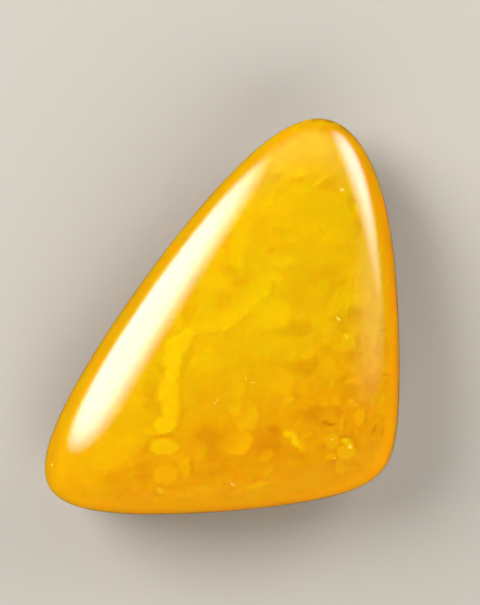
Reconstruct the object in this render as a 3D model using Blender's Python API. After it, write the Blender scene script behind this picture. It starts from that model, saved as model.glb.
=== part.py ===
"""A polished free-form cabochon of cloudy yellow amber, lying on its flat back.

The stone is one solid. Seen from above it is a rounded triangle, with its blunt tip towards +Y, and +Z is up
out of its domed face. The origin is at the middle of its outline's box, on the surface that it lies on.
"""

import bmesh
import bpy
import numpy as np

MM = 0.001

# The stone was ground on four sides, which run into each other without an edge. Each is the way that it
# faces, in degrees counterclockwise from +X, its distance from the heart of the stone, and its pull: how
# strongly the surface follows it.
LONG_SIDE = (145.2, 21.3 * MM, 1.507)
BOTTOM_SIDE = (274.7, 15.8 * MM, 0.820)
RIGHT_SIDE = (0.5, 14.5 * MM, 0.268)
TIP_SIDE = (17.8, 25.4 * MM, 0.941)
GROUND_SIDES = (LONG_SIDE, BOTTOM_SIDE, RIGHT_SIDE, TIP_SIDE)

# The widest section, or girdle, lies this high above the back, and the face rises above it at the heart.
GIRDLE_HEIGHT = 5.2 * MM
FACE_RISE = 5.5 * MM
# A higher fullness makes the face flatter in the middle and rounder at its shoulders.
FACE_FULLNESS = 1.4
# The face is lower towards the tip, by this share of its rise for each 25 mm.
TIP_THINNING = 0.18
THINNING_RUN = 25.0 * MM
# The back is a flatter bulge, lapped level where it would pass below the surface.
BACK_DEPTH = 5.4 * MM
BACK_FULLNESS = 2.4

# Cuts along each edge of the cube that becomes the stone.
CUBE_CUTS = 27
AMBER_YELLOW = (0.92, 0.46, 0.02, 1.0)


def towards(degrees):
    return np.array([np.cos(np.radians(degrees)), np.sin(np.radians(degrees))])


def sink(points):
    """How far each (x, y) point has sunk from the heart, at 0, to the girdle, at 1."""
    shares = [1 - points @ towards(facing) / distance for facing, distance, _ in GROUND_SIDES]
    return -sum(side[2] * np.log(share) for side, share in zip(GROUND_SIDES, shares))


def slope_and_bend(point):
    """The first and second derivatives of sink at one point."""
    slope, bend = np.zeros(2), np.zeros((2, 2))
    for facing, distance, pull in GROUND_SIDES:
        way = towards(facing) / distance
        share = 1 - point @ way
        slope += pull * way / share
        bend += pull * np.outer(way, way) / share**2
    return slope, bend


def heart():
    """The highest point of the face, where the sides' pulls balance."""
    point = np.zeros(2)
    for _ in range(8):
        slope, bend = slope_and_bend(point)
        point = point - np.linalg.solve(bend, slope)
    return point


def reach(middle, angles, levels):
    """Distance from the heart, along each angle, to where the face has sunk to each level."""
    ways = np.column_stack((np.cos(angles), np.sin(angles)))
    lowest = sink(middle[None, :])[0]
    near, far = np.zeros(len(angles)), np.full(len(angles), np.inf)
    for facing, distance, _ in GROUND_SIDES:
        closing = ways @ towards(facing)
        gap = distance - middle @ towards(facing)
        far = np.minimum(far, np.where(closing > 0, gap / np.maximum(closing, 1e-9), np.inf))
    far *= 1 - 1e-9
    for _ in range(60):
        halfway = (near + far) / 2
        deeper = sink(middle + halfway[:, None] * ways) - lowest > levels
        near, far = np.where(deeper, near, halfway), np.where(deeper, halfway, far)
    return (near + far) / 2


def ball_to_stone(ball):
    """Moves points of a unit ball to the stone's surface."""
    middle = heart()
    angles = np.arctan2(ball[:, 1], ball[:, 0])
    levels = np.clip(ball[:, 0] ** 2 + ball[:, 1] ** 2, 0.0, 1.0)
    far = reach(middle, angles, levels)
    x = middle[0] + far * np.cos(angles)
    y = middle[1] + far * np.sin(angles)
    rise = FACE_RISE * (1 - TIP_THINNING * (y - middle[1]) / THINNING_RUN)
    face = GIRDLE_HEIGHT + rise * np.sqrt(1 - levels**FACE_FULLNESS)
    back = GIRDLE_HEIGHT - BACK_DEPTH * np.sqrt(1 - levels**BACK_FULLNESS)
    z = np.where(ball[:, 2] > 0, face, np.maximum(back, 0.0))
    return np.column_stack((x, y, z))


def centred(points):
    """Puts the middle of the outline's box at the origin."""
    middle = (points.min(axis=0) + points.max(axis=0)) / 2
    return points - np.array([middle[0], middle[1], 0.0])


def amber_material():
    material = bpy.data.materials.new("amber")
    material.use_nodes = True
    shader = material.node_tree.nodes["Principled BSDF"]
    shader.inputs["Base Color"].default_value = AMBER_YELLOW
    shader.inputs["Roughness"].default_value = 0.08
    shader.inputs["Metallic"].default_value = 0.0
    shader.inputs["IOR"].default_value = 1.54
    return material


def amber(collection):
    """The stone, from a cube that is blown up to a ball and then drawn out to the stone's form."""
    form = bmesh.new()
    bmesh.ops.create_cube(form, size=2.0)
    bmesh.ops.subdivide_edges(form, edges=form.edges[:], cuts=CUBE_CUTS, use_grid_fill=True)
    cube = np.array([vertex.co for vertex in form.verts])
    ball = np.tan(cube * np.pi / 4)
    ball /= np.linalg.norm(ball, axis=1)[:, None]
    for vertex, place in zip(form.verts, centred(ball_to_stone(ball))):
        vertex.co = place
    mesh = bpy.data.meshes.new("amber")
    form.to_mesh(mesh)
    form.free()
    mesh.shade_smooth()
    mesh.materials.append(amber_material())
    stone = bpy.data.objects.new("amber", mesh)
    collection.objects.link(stone)
    return stone


def main():
    for old in list(bpy.data.objects):
        bpy.data.objects.remove(old)
    collection = bpy.data.collections.new("polished amber")
    bpy.context.scene.collection.children.link(collection)
    amber(collection)


main()
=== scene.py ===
"""Looks of a polished cabochon of cloudy yellow amber, lying on its flat back and seen from above.

The stone is a clear skin over a cloud. The cloud lies a little under the polished surface, in lobes, flakes
and pools that are each listed. The finer crumbs and scales between them are seeded noise.
"""

import bmesh
import bpy
import numpy as np
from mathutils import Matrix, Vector


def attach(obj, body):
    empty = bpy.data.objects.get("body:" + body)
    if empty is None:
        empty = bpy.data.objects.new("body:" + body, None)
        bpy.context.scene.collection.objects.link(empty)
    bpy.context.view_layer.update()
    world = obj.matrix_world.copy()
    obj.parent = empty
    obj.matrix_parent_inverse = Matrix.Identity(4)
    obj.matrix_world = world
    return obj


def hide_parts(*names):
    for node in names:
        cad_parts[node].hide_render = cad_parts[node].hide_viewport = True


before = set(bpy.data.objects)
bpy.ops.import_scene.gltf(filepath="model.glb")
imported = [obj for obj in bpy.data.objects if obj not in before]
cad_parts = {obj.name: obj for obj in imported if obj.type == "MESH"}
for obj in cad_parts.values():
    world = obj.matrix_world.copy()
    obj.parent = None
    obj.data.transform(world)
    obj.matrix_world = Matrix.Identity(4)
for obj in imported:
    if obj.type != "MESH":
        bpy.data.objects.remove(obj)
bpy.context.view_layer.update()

MM = 0.001

# The stone's form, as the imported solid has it: its four ground sides, each the way that it faces in degrees,
# its distance from the heart, and its pull.
LONG_SIDE = (145.2, 21.3 * MM, 1.507)
BOTTOM_SIDE = (274.7, 15.8 * MM, 0.820)
RIGHT_SIDE = (0.5, 14.5 * MM, 0.268)
TIP_SIDE = (17.8, 25.4 * MM, 0.941)
GROUND_SIDES = (LONG_SIDE, BOTTOM_SIDE, RIGHT_SIDE, TIP_SIDE)
GIRDLE_HEIGHT = 5.2 * MM
FACE_RISE = 5.5 * MM
FACE_FULLNESS = 1.4
TIP_THINNING = 0.18
THINNING_RUN = 25.0 * MM
BACK_DEPTH = 5.4 * MM
BACK_FULLNESS = 2.4

# Quads along each edge of the cube that becomes the skin and of the square that becomes the cloud's face,
# rings of points round the cloud's back, and points along the outline where it is measured.
SKIN_CELLS = 90
CLOUD_CELLS = 288
CLOUD_RINGS = 12
OUTLINE_POINTS = 721

# The cloud's marks. Each is x and y of its middle, half its length and half its width in mm, its turn in
# degrees, and its tone: 0 is deep orange, 0.5 the stone's own yellow, and 1 the palest cloud. A few go
# past 1, because they stay pale on the orange side.

# Broad pools of a deeper tone.
POOLS = (
    (9.2, 3.0, 2.8, 1.8, 20, 0.38),
    (7.7, -1.2, 1.2, 0.9, 0, 0.24),
    (8.5, -5.0, 1.3, 0.8, 0, 0.26),
    (-1.3, -11.6, 1.3, 1.1, 0, 0.28),
    (-1.0, -13.3, 0.9, 1.0, 0, 0.26),
    (5.2, -11.2, 0.7, 0.7, 0, 0.16),
    (4.5, -12.3, 1.4, 1.1, -20, 0.26),
    (8.9, -9.8, 1.4, 0.8, 0, 0.24),
    (-7.0, -7.3, 0.8, 1.7, 0, 0.24),
    (-3.3, 0.3, 0.7, 1.2, -25, 0.30),
    (-2.9, 3.3, 1.6, 0.6, 55, 0.34),
    (0.5, 4.8, 0.8, 0.5, 0, 0.36),
    (2.2, 3.8, 1.4, 0.4, 25, 0.34),
    (0.4, 1.7, 0.9, 0.7, 0, 0.40),
    (0.7, 7.3, 0.6, 0.9, 0, 0.40),
    (5.9, 8.3, 0.7, 0.5, 0, 0.34),
    (10.9, 13.3, 1.4, 0.7, 10, 0.28),
    (3.6, 8.5, 0.8, 2.2, 0, 0.42),
    (13.2, 11.4, 0.5, 0.9, 0, 0.28),
    (13.6, 8.9, 0.4, 0.9, 0, 0.28),
    (11.0, 3.2, 1.1, 0.6, 5, 0.30),
    (13.3, 0.3, 1.3, 0.5, 0, 0.26),
    (13.0, -3.8, 0.9, 0.6, 0, 0.26),
    (11.6, 0.0, 0.9, 1.4, 0, 0.44),
    (-7.7, -12.8, 0.6, 0.9, 0, 0.30),
    (-11.0, -16.2, 0.8, 0.7, 0, 0.30),
    (-7.8, -16.2, 0.8, 0.7, 0, 0.32),
    (0.3, -14.8, 0.5, 0.7, 0, 0.36),
    (14.8, -12.3, 0.5, 1.0, 0, 0.36),
    (10.7, -14.8, 0.5, 0.4, 0, 0.30),
)
# Broad pale patches.
SOFT_CLOUD = (
    (-11.2, -12.6, 3.0, 1.8, 30, 0.62),
    (9.2, 8.4, 1.4, 0.7, -10, 0.66),
    (5.2, 11.3, 1.4, 0.8, 10, 0.68),
    (2.7, 11.2, 1.1, 0.8, 0, 0.66),
    (8.0, 12.6, 1.0, 0.6, 35, 0.66),
    (12.0, 7.9, 1.4, 0.5, 0, 0.64),
    (-0.4, 3.3, 1.3, 0.9, 0, 0.70),
    (-1.6, -4.4, 1.5, 1.4, 0, 0.70),
    (3.9, -2.9, 2.1, 0.9, 10, 0.64),
    (3.0, 0.0, 2.0, 1.4, 30, 0.60),
    (10.0, -1.0, 0.9, 1.4, 0, 0.66),
    (13.7, 1.8, 1.2, 0.9, 0, 0.70),
    (14.8, -1.6, 0.9, 1.7, 0, 0.72),
    (14.9, -5.0, 1.0, 1.4, 0, 0.68),
    (-1.1, -9.6, 1.4, 0.9, 0, 0.64),
    (-0.6, -17.0, 2.4, 1.0, 8, 0.60),
    (7.5, -12.0, 2.0, 1.5, -30, 0.68),
    (6.6, -14.6, 2.4, 1.0, 0, 0.58),
    (-7.6, -11.2, 0.8, 1.0, 0, 0.60),
)
# Small shadows beside the lobes.
SHADOWS = (
    (-6.4, -2.8, 1.8, 0.5, 56, 0.22),
    (-6.3, -5.0, 0.9, 0.35, -50, 0.12),
    (-5.3, -0.4, 0.5, 0.28, 10, 0.10),
    (-6.5, -9.3, 0.5, 0.7, 0, 0.16),
    (-3.4, -4.1, 1.6, 0.38, 62, 0.16),
    (-5.6, -11.8, 1.3, 0.22, -4, 0.16),
    (-4.7, -14.6, 0.5, 0.25, -50, 0.20),
    (-3.0, -14.9, 0.8, 0.22, -75, 0.18),
    (-2.0, -7.8, 0.9, 0.8, 0, 0.26),
    (-1.9, -8.2, 0.5, 0.35, 10, 0.08),
    (0.2, -1.45, 1.9, 0.18, 6, 0.24),
    (1.9, -0.4, 0.8, 0.2, 42, 0.24),
    (5.0, 2.6, 0.35, 0.8, -15, 0.20),
    (6.7, 4.6, 0.8, 0.22, 12, 0.24),
    (6.0, -1.6, 0.8, 0.4, 0, 0.22),
    (3.1, -11.3, 0.9, 0.22, 0, 0.14),
    (5.1, 14.1, 0.8, 0.45, -35, 0.14),
    (7.7, 13.6, 1.0, 0.3, -4, 0.24),
    (11.2, 16.0, 0.7, 0.4, 60, 0.24),
    (9.8, 8.8, 0.4, 0.12, -50, 0.16),
    (12.4, 7.0, 1.0, 0.22, 6, 0.20),
    (11.8, 11.2, 0.6, 0.25, 0, 0.26),
    (13.55, -2.3, 0.28, 0.75, 0, 0.08),
    (10.6, -3.2, 0.55, 0.3, -35, 0.22),
    (13.0, -7.3, 0.75, 0.65, 0, 0.16),
    (11.7, -9.4, 0.4, 0.6, 0, 0.12),
    (11.9, -5.9, 0.45, 0.25, 0, 0.12),
    (9.7, -12.9, 0.45, 0.35, 0, 0.12),
    (13.3, -13.0, 0.4, 0.7, 20, 0.24),
    (7.1, -7.8, 0.5, 0.18, 30, 0.20),
    (11.1, 2.6, 0.45, 0.25, 15, 0.20),
    (14.7, -4.5, 0.5, 0.2, 50, 0.20),
    (-9.8, -15.5, 1.9, 0.3, 22, 0.26),
)
# Single lobes, which melt away at their upper left.
SCALES = (
    (-11.0, -13.5, 2.6, 1.5, 26, 0.82),
    (-9.6, -12.6, 1.3, 1.6, 0, 0.82),
    (1.5, 7.4, 0.9, 1.6, -5, 0.72),
    (1.3, 5.8, 1.3, 0.6, -44, 0.80),
    (-0.5, 3.5, 1.0, 0.7, 0, 0.74),
    (4.8, 0.4, 2.1, 1.6, 0, 0.94),
    (5.3, -6.3, 2.0, 1.4, -25, 0.84),
    (6.3, -8.1, 0.8, 0.6, 0, 0.88),
    (4.3, -7.5, 1.5, 0.4, 0, 0.74),
    (7.9, -6.9, 0.7, 0.9, -20, 0.72),
    (7.6, -2.6, 1.5, 0.7, 5, 0.68),
    (6.7, -3.6, 0.7, 0.7, 0, 0.78),
    (8.4, -3.5, 0.75, 0.75, 0, 0.78),
    (10.3, -4.9, 1.0, 1.1, 0, 0.74),
    (12.0, -2.4, 1.2, 1.1, 0, 0.84),
    (11.3, 1.4, 1.7, 0.6, 60, 0.74),
    (13.0, 4.5, 1.1, 0.5, 5, 0.72),
    (13.4, 3.4, 0.35, 0.5, 0, 0.80),
    (1.7, -5.5, 0.9, 0.9, 0, 0.76),
    (1.5, -7.0, 0.8, 1.0, 0, 0.84),
    (1.3, -8.6, 0.7, 1.1, 0, 0.88),
    (2.3, -9.7, 1.3, 1.6, 0, 0.90),
    (1.4, -12.5, 1.7, 1.2, 10, 0.92),
    (-2.3, -13.4, 0.6, 0.9, 0, 0.76),
    (4.3, -13.7, 0.8, 0.5, 25, 0.76),
    (4.4, -15.0, 0.7, 0.8, 0, 0.72),
    (10.1, -8.1, 0.5, 0.8, 0, 0.76),
    (11.2, -8.4, 0.55, 0.55, 0, 0.80),
    (9.5, -11.9, 0.8, 0.9, 0, 0.76),
)
# Lobes near the tip.
TIP_LOBES = (
    (5.9, 15.0, 0.95, 0.75, 0, 0.72),
    (7.7, 14.8, 1.4, 0.75, 5, 0.78),
    (9.6, 15.2, 0.9, 0.8, 20, 0.74),
    (10.2, 14.4, 0.6, 0.4, 40, 0.72),
    (6.9, 16.9, 1.0, 1.1, 20, 0.70),
    (9.4, 17.1, 1.5, 1.1, 0, 0.74),
)
# The chain of lobes across the middle.
CHAIN = (
    (-1.8, -1.0, 1.2, 0.65, 5, 0.85),
    (-0.4, -0.7, 1.4, 0.75, 10, 0.88),
    (0.9, 0.1, 1.2, 0.95, 40, 0.89),
    (1.7, 1.1, 1.1, 1.05, 45, 0.89),
    (2.7, 2.0, 1.2, 1.0, 40, 0.89),
    (3.7, 2.8, 1.25, 1.05, 25, 0.90),
    (4.9, 4.1, 1.25, 0.6, -5, 0.88),
    (6.0, 5.6, 1.3, 0.6, 5, 0.88),
)
# The pale ribbon at the left, and the lobes below it.
RIBBON = (
    (-3.6, -1.8, 1.0, 0.5, 20, 0.94),
    (-4.4, -2.8, 1.5, 0.95, 35, 0.97),
    (-4.9, -4.2, 1.05, 1.0, 0, 1.00),
    (-4.9, -5.5, 0.6, 0.9, 0, 1.00),
    (-5.3, -7.3, 1.05, 1.3, 0, 1.00),
    (-5.1, -8.9, 0.95, 1.2, 0, 1.00),
    (-5.6, -10.6, 1.2, 0.9, 15, 1.00),
    (-5.7, -12.9, 1.35, 0.8, 0, 0.98),
    (-5.6, -15.8, 1.2, 1.0, 0, 0.80),
    (-3.7, -15.0, 0.5, 1.0, 10, 0.82),
    (-6.2, -17.3, 0.4, 0.3, 0, 0.96),
)
# White flakes, and thin pale streaks.
FLAKES = (
    (6.5, -11.6, 0.6, 0.35, -30, 1.20),
    (7.3, -12.3, 1.1, 0.34, -60, 1.25),
    (8.3, -11.7, 0.7, 0.3, 22, 0.86),
    (7.9, -12.5, 0.9, 0.32, -65, 0.84),
    (10.9, -12.3, 0.8, 0.75, 0, 0.88),
    (11.8, -10.8, 1.1, 0.35, 80, 0.78),
    (12.6, -12.7, 0.75, 0.33, -40, 1.25),
    (12.4, -13.5, 1.0, 0.8, 0, 0.92),
    (10.8, -14.0, 0.5, 0.45, 0, 0.84),
    (11.8, -15.1, 0.6, 0.7, 0, 0.80),
    (13.7, -10.0, 0.90, 0.6, 75, 0.84),
    (13.2, -6.4, 1.0, 0.3, 0, 0.78),
    (13.1, -8.6, 0.8, 0.25, -30, 0.80),
    (12.6, -8.9, 0.6, 0.16, -30, 0.76),
    (12.2, -2.0, 0.5, 0.4, 30, 0.94),
    (3.6, -16.9, 1.0, 0.28, 15, 0.88),
    (9.6, 13.5, 1.4, 0.18, 42, 0.86),
    (13.5, 10.9, 0.3, 0.5, 0, 0.80),
    (6.2, 10.0, 0.4, 0.18, 45, 0.74),
)
# Dark cracks.
CRACKS = (
    (4.9, 6.5, 0.36, 0.18, 60, 0.2),
    (10.6, -10.6, 0.65, 0.14, -20, 0.0),
    (15.3, -11.3, 0.5, 0.2, 75, 0.10),
    (7.8, 17.4, 0.7, 0.1, 88, 0.40),
)
# Dark ticks in the rim band, and pale flakes in it with how fully each shows.
RIM_TICKS = (
    (16.2, -1.3, 0.4, 0.08, 0, 0.0),
    (16.6, -5.8, 0.4, 0.10, 0, 0.0),
    (16.2, -11.6, 0.5, 0.12, 70, 0.1),
)
RIM_FLAKES = (
    (16.6, 3.4, 0.40, 0.14, 42, 0.7),
    (16.1, 1.7, 0.40, 0.14, 80, 0.7),
    (16.6, 1.2, 0.25, 0.10, 85, 0.8),
    (16.4, 0.6, 0.22, 0.16, 0, 0.8),
    (16.9, -1.9, 0.16, 0.10, 0, 0.9),
    (17.0, -2.9, 0.20, 0.11, 85, 1.0),
    (16.3, -3.6, 0.40, 0.14, -50, 0.8),
    (16.5, -7.6, 0.30, 0.12, 70, 0.7),
    (16.2, -9.8, 0.25, 0.12, 60, 0.7),
    (15.2, -14.2, 0.30, 0.12, 30, 0.7),
)

# How far each kind of mark's edge is spread, as a share of its size.
POOL_EDGE = 0.55
SHADOW_EDGE = 0.35
SOFT_EDGE = 0.40
CRISP_EDGE = 0.10

# The cloud's tone before its marks, how strongly everything stands out from it, and the palest tone.
MIDDLE_TONE = 0.54
CONTRAST = 0.80
PALEST_TONE = 1.3
# Smooth changes of that tone, each with its strength, its scale in mm and its seed.
DRIFTING_TONES = ((0.08, 6.0, 15), (0.04, 2.4, 16))
# All smooth noise is the mean of this many waves, raised by this gain.
NOISE_WAVES = 28
NOISE_GAIN = 2.2
# Smooth noise that bends the outlines of the marks, each with its scale in mm and its seed.
DRIFT = (4.0, 9)
WAVER = (1.7, 11)
RIPPLE = (0.7, 13)
# Random scales: how many, the range of their half lengths in mm, their strength, the spread of their edges
# as a multiple of a crisp mark's, and their seed.
LARGE_SCALES = (150, (0.8, 2.0), 0.16, 1.0, 18)
SMALL_SCALES = (260, (0.3, 0.8), 0.12, 1.5, 19)
CRUMBLY_SCALES = (500, (0.15, 0.5), 0.26, 1.0, 24)
# Crumbs, and larger plates, that each have one tone: their strength, their size in mm and their seed.
FINE_CRUMBS = (0.13, 0.5, 17)
COARSE_CRUMBS = (0.12, 1.0, 20)
CLOUD_PLATES = ((0.10, 1.3, 25), (0.08, 2.4, 26))
# How far the plates' outlines waver, in mm, and the distances below the stone's middle between which the
# plates come in.
PLATE_WAVER = 0.2
LOWER_RUN = (-2.0, 10.0)
# Points whose crumb is found at one time.
CRUMB_BATCH = 2000
# The crumbly patch: the middle and the half size of its oval in mm, and the shares of that size between
# which it fades.
CRUMBLY_MIDDLE = (12.5, -7.5)
CRUMBLY_SIZE = (5.5, 10.0)
CRUMBLY_EDGE = (0.6, 1.15)

# The clean orange band along the rim: it is full up to the first distance from the outline, in mm, and
# has gone at the second.
RIM_BAND = (0.4, 1.8)
# It is wider by this share where the stone faces this way. Its colour there is painted light and shade: a
# little browner where it faces the lit side, and paler where it faces away from it.
RIM_WIDENING = 0.7
RIM_WIDEST = 10.0
LIT_SIDE = 148.0
# Below the girdle that painted light and shade fades between these depths, of 1 at the bottom.
PAINTED_RIM_LIGHT_RUN = (0.0, 0.4)
# The palest marks lie this far below the polished surface, in mm, and the deepest lie further by the relief.
CLOUD_DEPTH = 0.45
RELIEF = 0.4
# The height and the scale of the fine lumps all over the cloud, in mm.
CLOUD_LUMPS = 0.06
LUMP_SCALE = 0.9
# The stone turns more orange this way, between these distances from its middle in mm. Its pale marks escape
# that by up to this share, between these tones.
ORANGE_WAY = -68.0
ORANGE_RUN = (1.0, 15.0)
PALE_ESCAPE = 0.85
PALE_TONES = (0.6, 1.05)

# Colours of the cloud and of its rim band, each at stops along the tone, and what the cloud's colour is
# multiplied by where it turns orange. In the rim band the tone is painted light and shade, 0 facing the lit
# side and 1 facing away from it. The fine grain raises the tone by up to its contrast.
CLOUD_COLOURS = (
    (0.06, (0.620, 0.412, 0.001)),
    (0.56, (0.718, 0.570, 0.002)),
    (1.0, (0.776, 0.650, 0.003)),
)
RIM_COLOURS_WITH_PAINTED_LIGHT = (
    (0.0, (0.605, 0.418, 0.001)),
    (1.0, (0.838, 0.462, 0.001)),
)
ORANGE_TINT = (0.97, 0.765, 1.0, 1.0)
GRAIN_CONTRAST = 0.12
SPECK_COLOURS = (
    (0.3, (0.82, 0.62, 0.01)),
    (0.7, (0.97, 0.90, 0.22)),
)
FLOOR_COLOUR = (0.274, 0.278, 0.196, 1.0)
# Roughness of the polish, at stops from its clean places to its smears.
POLISH = (
    (0.3, (0.02, 0.02, 0.02)),
    (0.8, (0.06, 0.06, 0.06)),
)

# The light is faintly cool, so that the highlights turn cream on the yellow stone.
LIGHT_COLOUR = (0.90, 0.82, 1.0)
# The panels: each one's name, its azimuth and its angle from straight up, its width and height as the stone
# sees them, its radiance, its roll, and the share of it that is fully bright. Angles are in degrees.
PANELS = (
    ("left panel", 148.8, 59.4, 55.0, 70.3, 16.6, -26.0, 0.38),
    ("right panel", 42.2, 64.5, 61.2, 43.2, 13.4, -24.5, 0.18),
    ("right fill", 11.2, 47.6, 34.9, 62.8, 1.05, 7.5, 0.13),
    ("upper fill", 104.0, 57.8, 130.0, 52.0, 0.7, -24.0, 0.11),
)
# They stand this far from the stone, in metres.
PANEL_DISTANCE = 0.5
# The middle of the camera's view in mm, and its height in mm: 605 pixels at 9.93 pixels per mm.
VIEW_MIDDLE = (1.8, 1.4)
VIEW_HEIGHT = 605 / 9.93

# Specks near the surface: x, y, half length and half width in mm, and turn in degrees. They all have one
# depth below the surface and one half thickness.
SPECK_DEPTH = 0.07
SPECK_THICKNESS = 0.03
SPECKS = (
    (11.95, 12.6, 0.23, 0.16, 20),
    (11.7, 12.85, 0.10, 0.07, 0),
    (11.5, -0.2, 0.28, 0.09, -45),
    (12.3, -1.9, 0.16, 0.09, -50),
    (-0.4, -8.2, 0.07, 0.16, -20),
    (-0.7, -8.5, 0.12, 0.06, -30),
    (2.4, -6.1, 0.05, 0.24, 0),
    (3.1, -6.5, 0.28, 0.04, 10),
    (10.9, -12.1, 0.14, 0.10, 10),
    (12.7, -12.9, 0.26, 0.09, -42),
    (11.2, -14.0, 0.10, 0.06, 30),
    (1.0, -16.5, 0.20, 0.08, -25),
    (1.2, -16.7, 0.12, 0.05, 10),
    (-17.0, -14.8, 0.12, 0.12, 0),
)


def towards(degrees):
    return np.array([np.cos(np.radians(degrees)), np.sin(np.radians(degrees))])


def step(value, low, high):
    """Rises smoothly from 0 at the low value to 1 at the high one."""
    share = np.clip((value - low) / (high - low), 0.0, 1.0)
    return share * share * (3 - 2 * share)


def sink(points):
    """How far each (x, y) point has sunk from the heart, at 0, to the girdle, at 1."""
    shares = [1 - points @ towards(facing) / distance for facing, distance, _ in GROUND_SIDES]
    return -sum(side[2] * np.log(share) for side, share in zip(GROUND_SIDES, shares))


def heart():
    """The highest point of the face, where the sides' pulls balance."""
    point = np.zeros(2)
    for _ in range(8):
        slope, bend = np.zeros(2), np.zeros((2, 2))
        for facing, distance, pull in GROUND_SIDES:
            way = towards(facing) / distance
            share = 1 - point @ way
            slope += pull * way / share
            bend += pull * np.outer(way, way) / share**2
        point = point - np.linalg.solve(bend, slope)
    return point


def reach(middle, angles, levels):
    """Distance from the heart, along each angle, to where the face has sunk to each level."""
    ways = np.column_stack((np.cos(angles), np.sin(angles)))
    lowest = sink(middle[None, :])[0]
    near, far = np.zeros(len(angles)), np.full(len(angles), np.inf)
    for facing, distance, _ in GROUND_SIDES:
        closing = ways @ towards(facing)
        gap = distance - middle @ towards(facing)
        far = np.minimum(far, np.where(closing > 0, gap / np.maximum(closing, 1e-9), np.inf))
    far *= 1 - 1e-9
    for _ in range(50):
        halfway = (near + far) / 2
        deeper = sink(middle + halfway[:, None] * ways) - lowest > levels
        near, far = np.where(deeper, near, halfway), np.where(deeper, halfway, far)
    return (near + far) / 2


def ball_to_stone(ball):
    """Moves points of a unit ball to the stone's surface."""
    middle = heart()
    angles = np.arctan2(ball[:, 1], ball[:, 0])
    levels = np.clip(ball[:, 0] ** 2 + ball[:, 1] ** 2, 0.0, 1.0)
    far = reach(middle, angles, levels)
    x = middle[0] + far * np.cos(angles)
    y = middle[1] + far * np.sin(angles)
    rise = FACE_RISE * (1 - TIP_THINNING * (y - middle[1]) / THINNING_RUN)
    face = GIRDLE_HEIGHT + rise * np.sqrt(1 - levels**FACE_FULLNESS)
    back = GIRDLE_HEIGHT - BACK_DEPTH * np.sqrt(1 - levels**BACK_FULLNESS)
    z = np.where(ball[:, 2] > 0, face, np.maximum(back, 0.0))
    return np.column_stack((x, y, z))


def centred(points):
    """Puts the middle of the outline's box at the origin."""
    middle = (points.min(axis=0) + points.max(axis=0)) / 2
    return points - np.array([middle[0], middle[1], 0.0])


def outline_middle():
    """The middle of the outline's box, measured before the stone is centred."""
    angles = np.linspace(0, 2 * np.pi, OUTLINE_POINTS)
    far = reach(heart(), angles, np.ones(OUTLINE_POINTS))
    outline = heart() + far[:, None] * np.column_stack((np.cos(angles), np.sin(angles)))
    return (outline.min(axis=0) + outline.max(axis=0)) / 2


def rim_distance(points):
    """About how far each (x, y) point of the centred stone lies inside its outline."""
    places = points + outline_middle()
    slope = np.zeros_like(places)
    for facing, distance, pull in GROUND_SIDES:
        way = towards(facing) / distance
        slope += pull * way / np.maximum(1 - places @ way, 1e-6)[:, None]
    level = sink(places) - sink(heart()[None, :])[0]
    return (1 - level) / np.maximum(np.hypot(slope[:, 0], slope[:, 1]), 1e-6)


def face_height(point, middle, shift):
    """Height of the face above the floor at one (x, y) point of the centred stone."""
    level = sink((point + shift)[None, :])[0] - sink(middle[None, :])[0]
    rise = FACE_RISE * (1 - TIP_THINNING * (point[1] + shift[1] - middle[1]) / THINNING_RUN)
    return GIRDLE_HEIGHT + rise * np.sqrt(max(1 - max(level, 0.0) ** FACE_FULLNESS, 0.0))


def under_face(point):
    """A place just below the face at one (x, y) point, and the face's normal there."""
    middle, shift = heart(), outline_middle()
    nudge = 0.01 * MM
    slopes = []
    for way in ([nudge, 0], [0, nudge]):
        rise = face_height(point + way, middle, shift) - face_height(point - way, middle, shift)
        slopes.append(rise / (2 * nudge))
    normal = np.array([-slopes[0], -slopes[1], 1.0])
    normal /= np.linalg.norm(normal)
    on_face = np.array([point[0], point[1], face_height(point, middle, shift)])
    return on_face - normal * SPECK_DEPTH * MM, normal


def skin_mesh():
    """The polished surface: a cube blown up to a ball and drawn out to the stone's form."""
    form = bmesh.new()
    bmesh.ops.create_cube(form, size=2.0)
    bmesh.ops.subdivide_edges(form, edges=form.edges[:], cuts=SKIN_CELLS - 1, use_grid_fill=True)
    mesh = bpy.data.meshes.new("amber_skin")
    form.to_mesh(mesh)
    form.free()
    cube = np.empty(len(mesh.vertices) * 3)
    mesh.vertices.foreach_get("co", cube)
    ball = np.tan(cube.reshape(-1, 3) * np.pi / 4)
    ball /= np.linalg.norm(ball, axis=1)[:, None]
    mesh.vertices.foreach_set("co", centred(ball_to_stone(ball)).ravel())
    mesh.update()
    mesh.shade_smooth()
    return mesh


def on_ball(polar, angles):
    return np.column_stack((np.sin(polar) * np.cos(angles), np.sin(polar) * np.sin(angles), np.cos(polar)))


def upper_ball():
    """Points of a square grid bent to the upper half of a ball, with its border along the ball's middle."""
    steps = np.linspace(-1, 1, CLOUD_CELLS + 1)
    across, along = np.meshgrid(steps, steps, indexing="ij")
    size = np.maximum(np.abs(across), np.abs(along))
    x = np.tan(np.pi / 4 * across / np.maximum(size, 1e-9)).ravel()
    y = np.tan(np.pi / 4 * along / np.maximum(size, 1e-9)).ravel()
    return on_ball(size.ravel() * np.pi / 2, np.arctan2(y, x))


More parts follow.
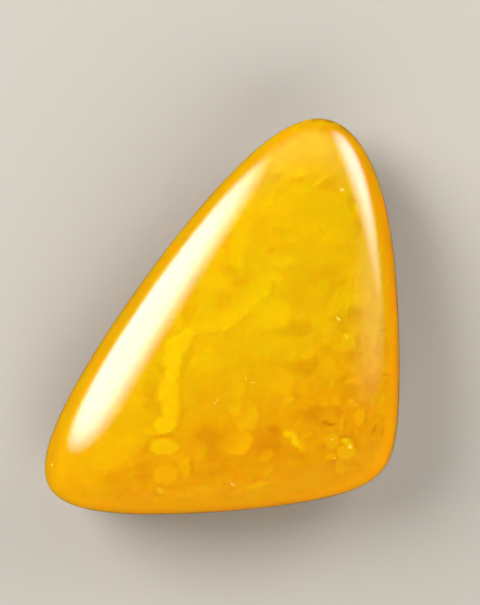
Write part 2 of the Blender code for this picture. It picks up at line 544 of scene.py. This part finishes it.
def fine_ball():
    """Points and faces of a ball: a fine grid over its upper half and a few rings round its lower half."""
    upper = upper_ball()
    number = np.arange((CLOUD_CELLS + 1) ** 2).reshape(CLOUD_CELLS + 1, CLOUD_CELLS + 1)
    corners = (number[:-1, :-1], number[1:, :-1], number[1:, 1:], number[:-1, 1:])
    faces = np.stack([corner.ravel() for corner in corners], axis=1).tolist()
    border = np.concatenate((number[:-1, 0], number[-1, :-1], number[:0:-1, -1], number[0, :0:-1]))
    angles = np.arctan2(upper[border, 1], upper[border, 0])
    points = [upper]
    above = border
    for ring in range(1, CLOUD_RINGS + 1):
        polar = np.pi / 2 * (1 + ring / (CLOUD_RINGS + 1))
        below = len(upper) + (ring - 1) * len(border) + np.arange(len(border))
        points.append(on_ball(np.full(len(border), polar), angles))
        faces += np.stack((above, below, np.roll(below, -1), np.roll(above, -1)), axis=1).tolist()
        above = below
    points.append(np.array([[0.0, 0.0, -1.0]]))
    last = above[-1] + 1
    faces += [[last, after, before] for before, after in zip(above.tolist(), np.roll(above, -1).tolist())]
    return np.vstack(points), faces


def smooth_noise(points, scale, seed):
    """Smooth noise with features of one scale, mostly from -1 to 1, made of waves in many directions."""
    rng = np.random.default_rng(seed)
    total = np.zeros(len(points))
    for _ in range(NOISE_WAVES):
        way = rng.normal(size=points.shape[1])
        way *= rng.uniform(0.6, 1.4) / np.linalg.norm(way)
        total += np.sin(points @ way * 2 * np.pi / scale + rng.uniform(0, 2 * np.pi))
    return total / NOISE_WAVES * NOISE_GAIN


def sway(points, scale, seed):
    """Smooth noise in x and in y, for bending the marks' outlines."""
    return np.column_stack((smooth_noise(points, scale, seed), smooth_noise(points, scale, seed + 1)))


def crumbs(points, scale, seed):
    """A random level from -1 to 1 for each point, the same all over each small, irregular crumb."""
    rng = np.random.default_rng(seed)
    lowest, highest = points.min(axis=0), points.max(axis=0)
    count = int(np.prod((highest - lowest) / scale))
    middles = rng.uniform(lowest, highest, size=(count, 2))
    levels = rng.uniform(-1, 1, size=count)
    nearest = np.empty(len(points), int)
    for start in range(0, len(points), CRUMB_BATCH):
        batch = points[start : start + CRUMB_BATCH]
        across = batch[:, None, 0] - middles[None, :, 0]
        along = batch[:, None, 1] - middles[None, :, 1]
        nearest[start : start + CRUMB_BATCH] = (across**2 + along**2).argmin(axis=1)
    return levels[nearest]


def mark_cover(points, mark, edge, melting):
    """The points that a mark reaches, how far it covers them, and how far they lie in the thin ring of painted
    shade round it.

    The mark melts away on the side opposite to the direction of melting, in degrees, unless that is None.
    """
    x, y, length, width, turn = mark[:5]
    offset = points / MM - np.array([x, y])
    # Points further out than twice the mark's size are left alone.
    near = np.flatnonzero((np.abs(offset) < 2.0 * max(length, width)).all(axis=1))
    offset = offset[near]
    along = towards(turn)
    place = np.hypot(offset @ along / length, offset @ np.array([-along[1], along[0]]) / width)
    outside = step(place, 1 - edge, 1 + edge)
    # A thin ring of painted shade just outside the mark's edge.
    painted_crease_shade = outside * (1 - step(place, 1 + edge, 1.15 + 3 * edge))
    cover = 1 - outside
    if melting is not None:
        side = step(offset @ towards(melting) / max(length, width), -0.9, 0.5)
        cover *= 0.1 + 0.9 * side
        painted_crease_shade *= side
    return near, cover, painted_crease_shade


def lay(tones, points, marks, edge, melting=None, painted_crease_depth=0.0, strength=1.0):
    """Lays a group of marks over the tones, each with a thin ring of painted shade round it. Marks of one
    group run into each other without that shade between them.
    """
    covered, painted_crease_cover, wanted = np.zeros(len(tones)), np.zeros(len(tones)), np.zeros(len(tones))
    for mark in marks:
        near, cover, painted_crease_shade = mark_cover(points, mark, edge, melting)
        deeper = cover > covered[near]
        wanted[near] = np.where(deeper, mark[5], wanted[near])
        covered[near] = np.maximum(covered[near], cover)
        painted_crease_cover[near] = np.maximum(painted_crease_cover[near], painted_crease_shade)
    return tones + strength * (wanted - tones) * covered - painted_crease_depth * painted_crease_cover * (1 - covered)


def scatter(tones, points, scales):
    """Strews overlapping scales, each a little paler or deeper and most of them crisp at the lower right."""
    count, sizes, strength, spread, seed = scales
    rng = np.random.default_rng(seed)
    tones = tones.copy()
    lowest, highest = points.min(axis=0) / MM, points.max(axis=0) / MM
    for _ in range(count):
        x, y = rng.uniform(lowest, highest)
        length = rng.uniform(*sizes)
        mark = (x, y, length, length * rng.uniform(0.45, 1.0), rng.uniform(0, 180))
        near, cover, painted_crease_shade = mark_cover(points, mark, CRISP_EDGE * spread, rng.normal(-40, 50))
        # Each scale also gets a faint ring of painted shade round it.
        tones[near] += strength * rng.uniform(-0.6, 1.0) * cover - 0.12 * strength * painted_crease_shade
    return tones


def add_crumbs(tones, points, where, layer):
    strength, size, seed = layer
    return tones + strength * where * crumbs(points, size * MM, seed)


def plain_cloud(bent, drifted):
    """The cloud before its marks: a drifting tone with dark pools and soft patches in it."""
    tones = np.full(len(bent), MIDDLE_TONE)
    for strength, scale, seed in DRIFTING_TONES:
        tones = tones + strength * smooth_noise(bent, scale * MM, seed)
    tones = lay(tones, drifted, POOLS, POOL_EDGE)
    return lay(tones, drifted, SOFT_CLOUD, SOFT_EDGE)


def add_fine_marks(tones, bent, waver, crumbly, lower):
    """Adds the random scales and crumbs that show only in the colour."""
    tones = scatter(tones, bent, LARGE_SCALES)
    tones = scatter(tones, bent, SMALL_SCALES)
    tones = add_crumbs(tones, bent, crumbly, FINE_CRUMBS)
    for plates in CLOUD_PLATES:
        tones = add_crumbs(tones, bent + PLATE_WAVER * MM * waver, lower, plates)
    return tones + crumbly * scatter(np.zeros(len(bent)), bent, CRUMBLY_SCALES)


def cloud_tones(points, crisp):
    """The cloud's tone at (x, y) points, with crisp marks for its colour or soft ones for its relief."""
    edge = CRISP_EDGE if crisp else SOFT_EDGE
    drift, waver, ripple = [sway(points, scale * MM, seed) for scale, seed in (DRIFT, WAVER, RIPPLE)]
    bent = points + 0.20 * MM * waver + 0.10 * MM * ripple
    tones = plain_cloud(bent, bent + 0.28 * MM * drift + 0.15 * MM * waver)
    crumb_place = (points / MM - CRUMBLY_MIDDLE) / CRUMBLY_SIZE
    crumbly = 1 - step(np.hypot(crumb_place[:, 0], crumb_place[:, 1]), *CRUMBLY_EDGE)
    if crisp:
        lower = 0.3 + 0.7 * step(-points[:, 1] / MM, *LOWER_RUN)
        tones = add_fine_marks(tones, bent, waver, crumbly, lower)
    tones = add_crumbs(tones, bent, crumbly, COARSE_CRUMBS)
    tones = lay(tones, bent, SHADOWS, SHADOW_EDGE, strength=0.5 if crisp else 0.2)
    # The rings of painted shade round these lobes darken their colour. In the soft tones for the relief they
    # also sink the cloud a little there.
    tones = lay(tones, bent, TIP_LOBES, edge, melting=-80, painted_crease_depth=0.04)
    tones = lay(tones, bent, SCALES, edge, melting=-40, painted_crease_depth=0.03)
    tones = lay(tones, bent, CHAIN, edge, melting=-50, painted_crease_depth=0.03)
    tones = lay(tones, bent, RIBBON, edge, painted_crease_depth=0.04)
    tones = lay(tones, bent, FLAKES, 1.5 * edge, painted_crease_depth=0.06)
    tones = lay(tones, bent, CRACKS, 2.0 * edge)
    return np.clip(MIDDLE_TONE + CONTRAST * (tones - MIDDLE_TONE), 0.0, PALEST_TONE)


def rim_cover(places, normals, upper):
    """How fully each point lies in the clean band along the rim. The lower half does so altogether."""
    inside = rim_distance(places[:, :2]) / MM
    inside /= 1 + RIM_WIDENING * np.maximum(normals[:, :2] @ towards(RIM_WIDEST), 0)
    return np.where(upper, 1 - step(inside, *RIM_BAND), 1.0)


def cloud_depth(places, behind, upper, rim):
    """How far below the stone's surface the cloud lies, in mm, less far at the pale lobes."""
    tones = np.where(upper, cloud_tones(places[:, :2], False), behind)
    tones = tones + (0.5 - tones) * rim
    relief = RELIEF * (1 - tones) * (1 - 0.5 * rim)
    return CLOUD_DEPTH + relief + CLOUD_LUMPS * smooth_noise(places, LUMP_SCALE * MM, 23)


def colour_tones(places, normals, behind, upper, near_rim):
    """The tones that colour the cloud: its marks, and a rim band of painted light and shade that is paler away
    from the lit side.
    """
    tones = np.where(upper, cloud_tones(places[:, :2], True), behind)
    # Painted light and shade for the rim band: 0 where it faces the lit side, 1 where it faces away from it.
    painted_rim_light = 0.5 - 0.5 * normals[:, :2] @ towards(LIT_SIDE)
    tones = tones + (painted_rim_light - tones) * near_rim
    return np.where(upper, lay(tones, places[:, :2], RIM_TICKS, SOFT_EDGE), tones)


def write_values(mesh, name, values):
    attribute = mesh.attributes.new(name, "FLOAT", "POINT")
    attribute.data.foreach_set("value", values.astype(np.float32))


def cloud_mesh():
    """The cloud's surface: the stone's own surface, moved inwards."""
    ball, faces = fine_ball()
    places = centred(ball_to_stone(ball))
    mesh = bpy.data.meshes.new("amber_cloud")
    mesh.from_pydata(places.tolist(), [], faces)
    mesh.update()
    normals = np.empty(len(mesh.vertices) * 3)
    mesh.vertex_normals.foreach_get("vector", normals)
    normals = normals.reshape(-1, 3)
    upper = ball[:, 2] > -1e-9
    behind = 0.5 + 0.2 * smooth_noise(places, 4.5 * MM, 21) + 0.15 * smooth_noise(places, 1.8 * MM, 22)
    rim = rim_cover(places, normals, upper)
    # Where the rim band's painted light and shade applies: it fades out below the girdle.
    near_rim = rim * (1 - step(-ball[:, 2], *PAINTED_RIM_LIGHT_RUN))
    tones = colour_tones(places, normals, behind, upper, near_rim)
    depth = cloud_depth(places, behind, upper, rim)
    mesh.vertices.foreach_set("co", (places - normals * depth[:, None] * MM).ravel())
    flakes = lay(np.zeros(len(places)), places[:, :2], RIM_FLAKES, SOFT_EDGE)
    orange = step(places[:, :2] @ towards(ORANGE_WAY) / MM, *ORANGE_RUN)
    write_values(mesh, "tone", np.clip(tones, 0, 1))
    write_values(mesh, "rim", rim * (1 - flakes * upper))
    write_values(mesh, "warm", orange * (1 - PALE_ESCAPE * step(tones, *PALE_TONES)))
    mesh.update()
    mesh.shade_smooth()
    return mesh


def speck_mesh():
    """Small, lumpy flakes just below the polished surface."""
    form = bmesh.new()
    for index, (x, y, length, width, turn) in enumerate(SPECKS):
        made = bmesh.ops.create_icosphere(form, subdivisions=2, radius=1.0)["verts"]
        place, normal = under_face(np.array([x, y]) * MM)
        along = Vector((towards(turn)[0], towards(turn)[1], 0.0))
        across = Vector(normal).cross(along).normalized()
        along = across.cross(Vector(normal))
        for vert in made:
            ball = vert.co.copy()
            lumpy = 1 + 0.25 * np.sin(5 * ball.x + 3 * index) * np.cos(4 * ball.y + index)
            offset = along * ball.x * length + across * ball.y * width
            offset += Vector(normal) * ball.z * SPECK_THICKNESS
            vert.co = Vector(place) + offset * lumpy * MM
    mesh = bpy.data.meshes.new("amber_specks")
    form.to_mesh(mesh)
    form.free()
    mesh.shade_smooth()
    return mesh


def add_object(name, mesh):
    piece = bpy.data.objects.new(name, mesh)
    bpy.context.scene.collection.objects.link(piece)
    return piece


def new_material(name):
    material = bpy.data.materials.new(name)
    material.use_nodes = True
    nodes = material.node_tree.nodes
    return material, nodes, material.node_tree.links, nodes["Principled BSDF"]


def add_noise(nodes, links, scale, detail):
    place = nodes.new("ShaderNodeTexCoord")
    noise = nodes.new("ShaderNodeTexNoise")
    noise.inputs["Scale"].default_value = scale
    noise.inputs["Detail"].default_value = detail
    links.new(place.outputs["Object"], noise.inputs["Vector"])
    return noise


def add_bump(nodes, links, height, distance, shader):
    bump = nodes.new("ShaderNodeBump")
    bump.inputs["Distance"].default_value = distance
    links.new(height, bump.inputs["Height"])
    links.new(bump.outputs["Normal"], shader.inputs["Normal"])


def add_ramp(nodes, links, factor, stops):
    ramp = nodes.new("ShaderNodeValToRGB")
    for _ in range(len(stops) - 2):
        ramp.color_ramp.elements.new(0.5)
    for element, (position, colour) in zip(ramp.color_ramp.elements, stops):
        element.position = position
        element.color = (*colour, 1.0)
    links.new(factor, ramp.inputs["Fac"])
    return ramp


def add_values(nodes, name):
    values = nodes.new("ShaderNodeAttribute")
    values.attribute_name = name
    return values.outputs["Fac"]


def add_mix(nodes, links, factor, colour, blend="MIX"):
    """Mixes something over a colour, and returns the input for it and the result."""
    mix = nodes.new("ShaderNodeMix")
    mix.data_type = "RGBA"
    mix.blend_type = blend
    links.new(factor, mix.inputs["Factor"])
    links.new(colour, mix.inputs["A"])
    return mix.inputs["B"], mix.outputs["Result"]


def skin_material():
    """Clear honey-coloured resin with a hand polish: nearly flat, with slight waves."""
    material, nodes, links, shader = new_material("clear amber")
    shader.inputs["Base Color"].default_value = (1.0, 0.95, 0.80, 1.0)
    shader.inputs["Transmission Weight"].default_value = 1.0
    shader.inputs["IOR"].default_value = 1.54
    waves = add_noise(nodes, links, 260.0, 2.0)
    add_bump(nodes, links, waves.outputs["Fac"], 0.012 * MM, shader)
    smears = add_noise(nodes, links, 420.0, 4.0)
    gloss = add_ramp(nodes, links, smears.outputs["Fac"], POLISH)
    links.new(gloss.outputs["Color"], shader.inputs["Roughness"])
    honey = nodes.new("ShaderNodeVolumeAbsorption")
    honey.inputs["Color"].default_value = (1.0, 0.72, 0.02, 1.0)
    honey.inputs["Density"].default_value = 100.0
    links.new(honey.outputs["Volume"], nodes["Material Output"].inputs["Volume"])
    return material


def cloud_colour(nodes, links, grain):
    """The cloud's colour: by its tone, turned to orange on one side, and in a band of its own at the rim."""
    tone = add_values(nodes, "tone")
    level = nodes.new("ShaderNodeMath")
    level.operation = "MULTIPLY_ADD"
    links.new(grain, level.inputs[0])
    level.inputs[1].default_value = GRAIN_CONTRAST
    links.new(tone, level.inputs[2])
    cloud = add_ramp(nodes, links, level.outputs["Value"], CLOUD_COLOURS)
    tint, warmed = add_mix(nodes, links, add_values(nodes, "warm"), cloud.outputs["Color"], "MULTIPLY")
    tint.default_value = ORANGE_TINT
    band, mixed = add_mix(nodes, links, add_values(nodes, "rim"), warmed)
    # The band's ramp runs along the tone, which there is painted light and shade by facing.
    links.new(add_ramp(nodes, links, tone, RIM_COLOURS_WITH_PAINTED_LIGHT).outputs["Color"], band)
    return mixed


def cloud_material():
    """Cloudy resin, in which the light spreads far before it comes out again."""
    material, nodes, links, shader = new_material("cloudy amber")
    grain = add_noise(nodes, links, 900.0, 3.0).outputs["Fac"]
    links.new(cloud_colour(nodes, links, grain), shader.inputs["Base Color"])
    shader.inputs["Roughness"].default_value = 0.6
    shader.inputs["Specular IOR Level"].default_value = 0.0
    shader.inputs["Subsurface Weight"].default_value = 1.0
    shader.inputs["Subsurface Radius"].default_value = (1.0, 0.60, 0.03)
    shader.inputs["Subsurface Anisotropy"].default_value = 0.7
    shader.inputs["Subsurface Scale"].default_value = 6.0 * MM
    add_bump(nodes, links, grain, 0.03 * MM, shader)
    return material


def speck_material():
    material, nodes, links, shader = new_material("pale specks")
    grain = add_noise(nodes, links, 3000.0, 2.0)
    colours = add_ramp(nodes, links, grain.outputs["Fac"], SPECK_COLOURS)
    links.new(colours.outputs["Color"], shader.inputs["Base Color"])
    shader.inputs["Roughness"].default_value = 0.4
    add_bump(nodes, links, grain.outputs["Fac"], 0.01 * MM, shader)
    return material


def floor():
    """A plain pale floor, just below the stone."""
    mesh = bpy.data.meshes.new("floor")
    form = bmesh.new()
    bmesh.ops.create_grid(form, x_segments=1, y_segments=1, size=3.0)
    form.to_mesh(mesh)
    form.free()
    ground = add_object("floor", mesh)
    ground.location.z = -0.1 * MM
    material, _, _, shader = new_material("pale floor")
    shader.inputs["Base Color"].default_value = FLOOR_COLOUR
    shader.inputs["Roughness"].default_value = 0.7
    mesh.materials.append(material)
    # The polish mirrors the dark room instead of the floor, so the rim keeps its own colour.
    ground.visible_glossy = False


def fade_out(data, full):
    """Makes a panel dim towards its edge, from its full brightness within a share of its size."""
    data.use_nodes = True
    nodes, links = data.node_tree.nodes, data.node_tree.links
    spot = nodes.new("ShaderNodeNewGeometry")
    parts = nodes.new("ShaderNodeSeparateXYZ")
    links.new(spot.outputs["Parametric"], parts.inputs["Vector"])
    joined = nodes.new("ShaderNodeCombineXYZ")
    for name in ("X", "Y"):
        shift = nodes.new("ShaderNodeMath")
        shift.operation = "MULTIPLY_ADD"
        links.new(parts.outputs[name], shift.inputs[0])
        shift.inputs[1].default_value = 2.0
        shift.inputs[2].default_value = -1.0
        links.new(shift.outputs[0], joined.inputs[name])
    size = nodes.new("ShaderNodeVectorMath")
    size.operation = "LENGTH"
    links.new(joined.outputs["Vector"], size.inputs[0])
    fall = nodes.new("ShaderNodeMapRange")
    fall.interpolation_type = "SMOOTHSTEP"
    links.new(size.outputs["Value"], fall.inputs["Value"])
    fall.inputs["From Min"].default_value = full
    fall.inputs["From Max"].default_value = 1.0
    fall.inputs["To Min"].default_value = 1.0
    fall.inputs["To Max"].default_value = 0.0
    links.new(fall.outputs["Result"], nodes["Emission"].inputs["Strength"])


def panel(name, azimuth, polar, width, height, radiance, roll=0.0):
    """A soft oval light that the stone sees in one direction, with its angular size, all in degrees."""
    data = bpy.data.lights.new(name, "AREA")
    data.shape = "ELLIPSE"
    data.size = 2 * PANEL_DISTANCE * np.tan(np.radians(width / 2))
    data.size_y = 2 * PANEL_DISTANCE * np.tan(np.radians(height / 2))
    data.energy = radiance * (data.size * data.size_y * (np.pi / 4)) * np.pi
    data.color = LIGHT_COLOUR
    lamp = bpy.data.objects.new(name, data)
    bpy.context.scene.collection.objects.link(lamp)
    level = towards(azimuth) * np.sin(np.radians(polar))
    way = Vector((level[0], level[1], np.cos(np.radians(polar))))
    lamp.location = way * PANEL_DISTANCE + Vector((0.0, 0.0, 8.0 * MM))
    lamp.rotation_euler = way.to_track_quat("Z", "Y").to_euler()
    lamp.rotation_euler.rotate_axis("Z", np.radians(roll))
    return lamp


def studio():
    """Two bright panels beside the stone, two dim ones, a fill light, and a dark room."""
    for name, *setting, full in PANELS:
        fade_out(panel(name, *setting).data, full)
    # This one reaches the dark side as if through crossed polarisers, so the polish doesn't mirror it.
    fill = panel("polarised fill", 288.0, 66.0, 90.0, 54.0, 5.8)
    fill.visible_glossy = False
    world = bpy.data.worlds.new("room")
    bpy.context.scene.world = world
    world.use_nodes = True
    world.node_tree.nodes["Background"].inputs["Color"].default_value = (*LIGHT_COLOUR, 1.0)
    world.node_tree.nodes["Background"].inputs["Strength"].default_value = 0.03


def camera():
    """Looks straight down on the face, as the photograph looks straight at it."""
    data = bpy.data.cameras.new("camera")
    data.lens = 150.0
    data.sensor_width = 36.0
    view = bpy.data.objects.new("camera", data)
    bpy.context.scene.collection.objects.link(view)
    distance = VIEW_HEIGHT * MM * data.lens / data.sensor_width
    view.location = (VIEW_MIDDLE[0] * MM, VIEW_MIDDLE[1] * MM, distance + GIRDLE_HEIGHT)
    data.clip_start, data.clip_end = 0.01, 10.0
    bpy.context.scene.camera = view


def main():
    skin = add_object("amber_skin", skin_mesh())
    skin.data.materials.append(skin_material())
    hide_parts("amber")
    cloud = add_object("amber_cloud", cloud_mesh())
    cloud.data.materials.append(cloud_material())
    specks = add_object("amber_specks", speck_mesh())
    specks.data.materials.append(speck_material())
    for piece in (skin, cloud, specks):
        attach(piece, "root")
    floor()
    studio()
    camera()
    bpy.context.scene.view_settings.view_transform = "Standard"


main()
